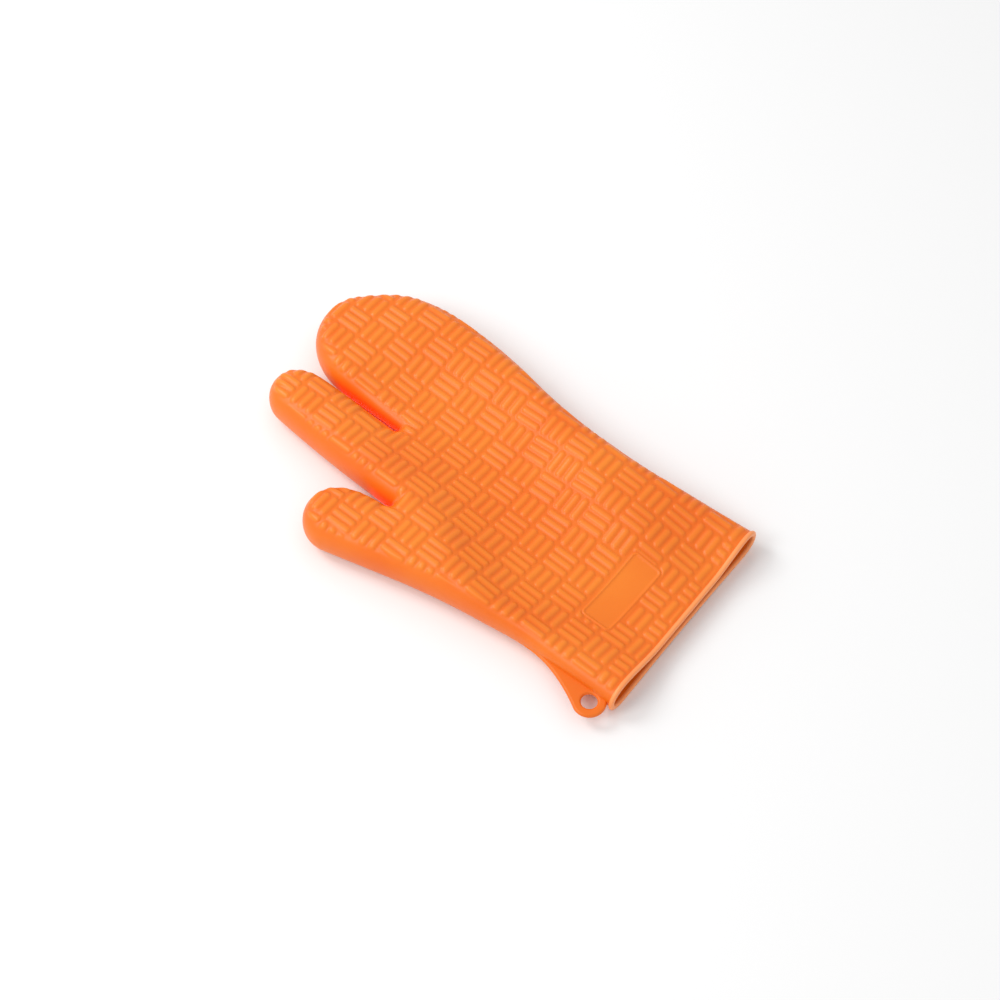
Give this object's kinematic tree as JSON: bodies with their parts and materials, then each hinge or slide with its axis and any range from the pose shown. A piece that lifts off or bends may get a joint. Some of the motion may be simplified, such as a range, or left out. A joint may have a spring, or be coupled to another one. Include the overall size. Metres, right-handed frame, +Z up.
{
  "type": "heat resistant glove",
  "caption": "Moulded silicone cooking glove with thumb, index and three-finger stalls, ribbed grip, lipped cuff and hanging tab.",
  "frame": {"origin": "under the middle of the glove, on the surface it lies on", "axes": "+X from the cuff to the fingertips, +Y towards the thumb, +Z up, out of the ribbed face"},
  "size_m": [0.288, 0.167, 0.026],
  "materials": {
    "silicone": "moulded silicone, satin",
    "bead": "moulded silicone, slightly glossy"
  },
  "bodies": {
    "palm": {"palm_face": "silicone", "palm_back": "silicone", "wrist_crease": "silicone", "thumb_crease": "silicone", "index_crease": "silicone", "pocket_crease": "silicone"},
    "cuff": {"cuff_face": "silicone", "cuff_back": "silicone", "lip_bead_face": "bead", "lip_bead_back": "bead", "panel_border": "silicone"},
    "hanging_tab": {"hanging_tab": "silicone"},
    "thumb": {"thumb_face": "silicone", "thumb_back": "silicone"},
    "index_base": {"index_base_face": "silicone", "index_base_back": "silicone", "index_mid_crease": "silicone"},
    "index_tip": {"index_tip_face": "silicone", "index_tip_back": "silicone"},
    "pocket_base": {"pocket_base_face": "silicone", "pocket_base_back": "silicone", "pocket_mid_crease": "silicone"},
    "pocket_tip": {"pocket_tip_face": "silicone", "pocket_tip_back": "silicone"}
  },
  "joints": [
    {"name": "wrist_flex", "type": "hinge", "parent": "palm", "child": "cuff", "pos_m": [-0.05, -0.005, 0.013], "axis": [0, 1, 0], "range_deg": [-35, 35], "stiffness_Nm_per_rad": 0.8, "deforming": ["wrist_crease"]},
    {"name": "thumb_fold", "type": "hinge", "parent": "palm", "child": "thumb", "pos_m": [0.03121, 0.04701, 0.013], "axis": [-0.7071, 0.7071, 0], "range_deg": [-40, 40], "stiffness_Nm_per_rad": 0.3, "deforming": ["thumb_crease"]},
    {"name": "index_flex", "type": "hinge", "parent": "palm", "child": "index_base", "pos_m": [0.07, 0.02, 0.013], "axis": [0, 1, 0], "range_deg": [-45, 45], "stiffness_Nm_per_rad": 0.3, "deforming": ["index_crease"]},
    {"name": "index_curl", "type": "hinge", "parent": "index_base", "child": "index_tip", "pos_m": [0.107, 0.018, 0.013], "axis": [0, 1, 0], "range_deg": [-40, 40], "stiffness_Nm_per_rad": 0.15, "deforming": ["index_mid_crease"]},
    {"name": "pocket_flex", "type": "hinge", "parent": "palm", "child": "pocket_base", "pos_m": [0.071, -0.042, 0.013], "axis": [0, 1, 0], "range_deg": [-45, 45], "stiffness_Nm_per_rad": 0.6, "deforming": ["pocket_crease"]},
    {"name": "pocket_curl", "type": "hinge", "parent": "pocket_base", "child": "pocket_tip", "pos_m": [0.112, -0.042, 0.013], "axis": [0, 1, 0], "range_deg": [-40, 40], "stiffness_Nm_per_rad": 0.3, "deforming": ["pocket_mid_crease"]},
    {"name": "tab_flex", "type": "hinge", "parent": "cuff", "child": "hanging_tab", "pos_m": [-0.117, 0.0588, 0.0085], "axis": [1, 0, 0], "range_deg": [-45, 45], "stiffness_Nm_per_rad": 0.02}
  ]
}
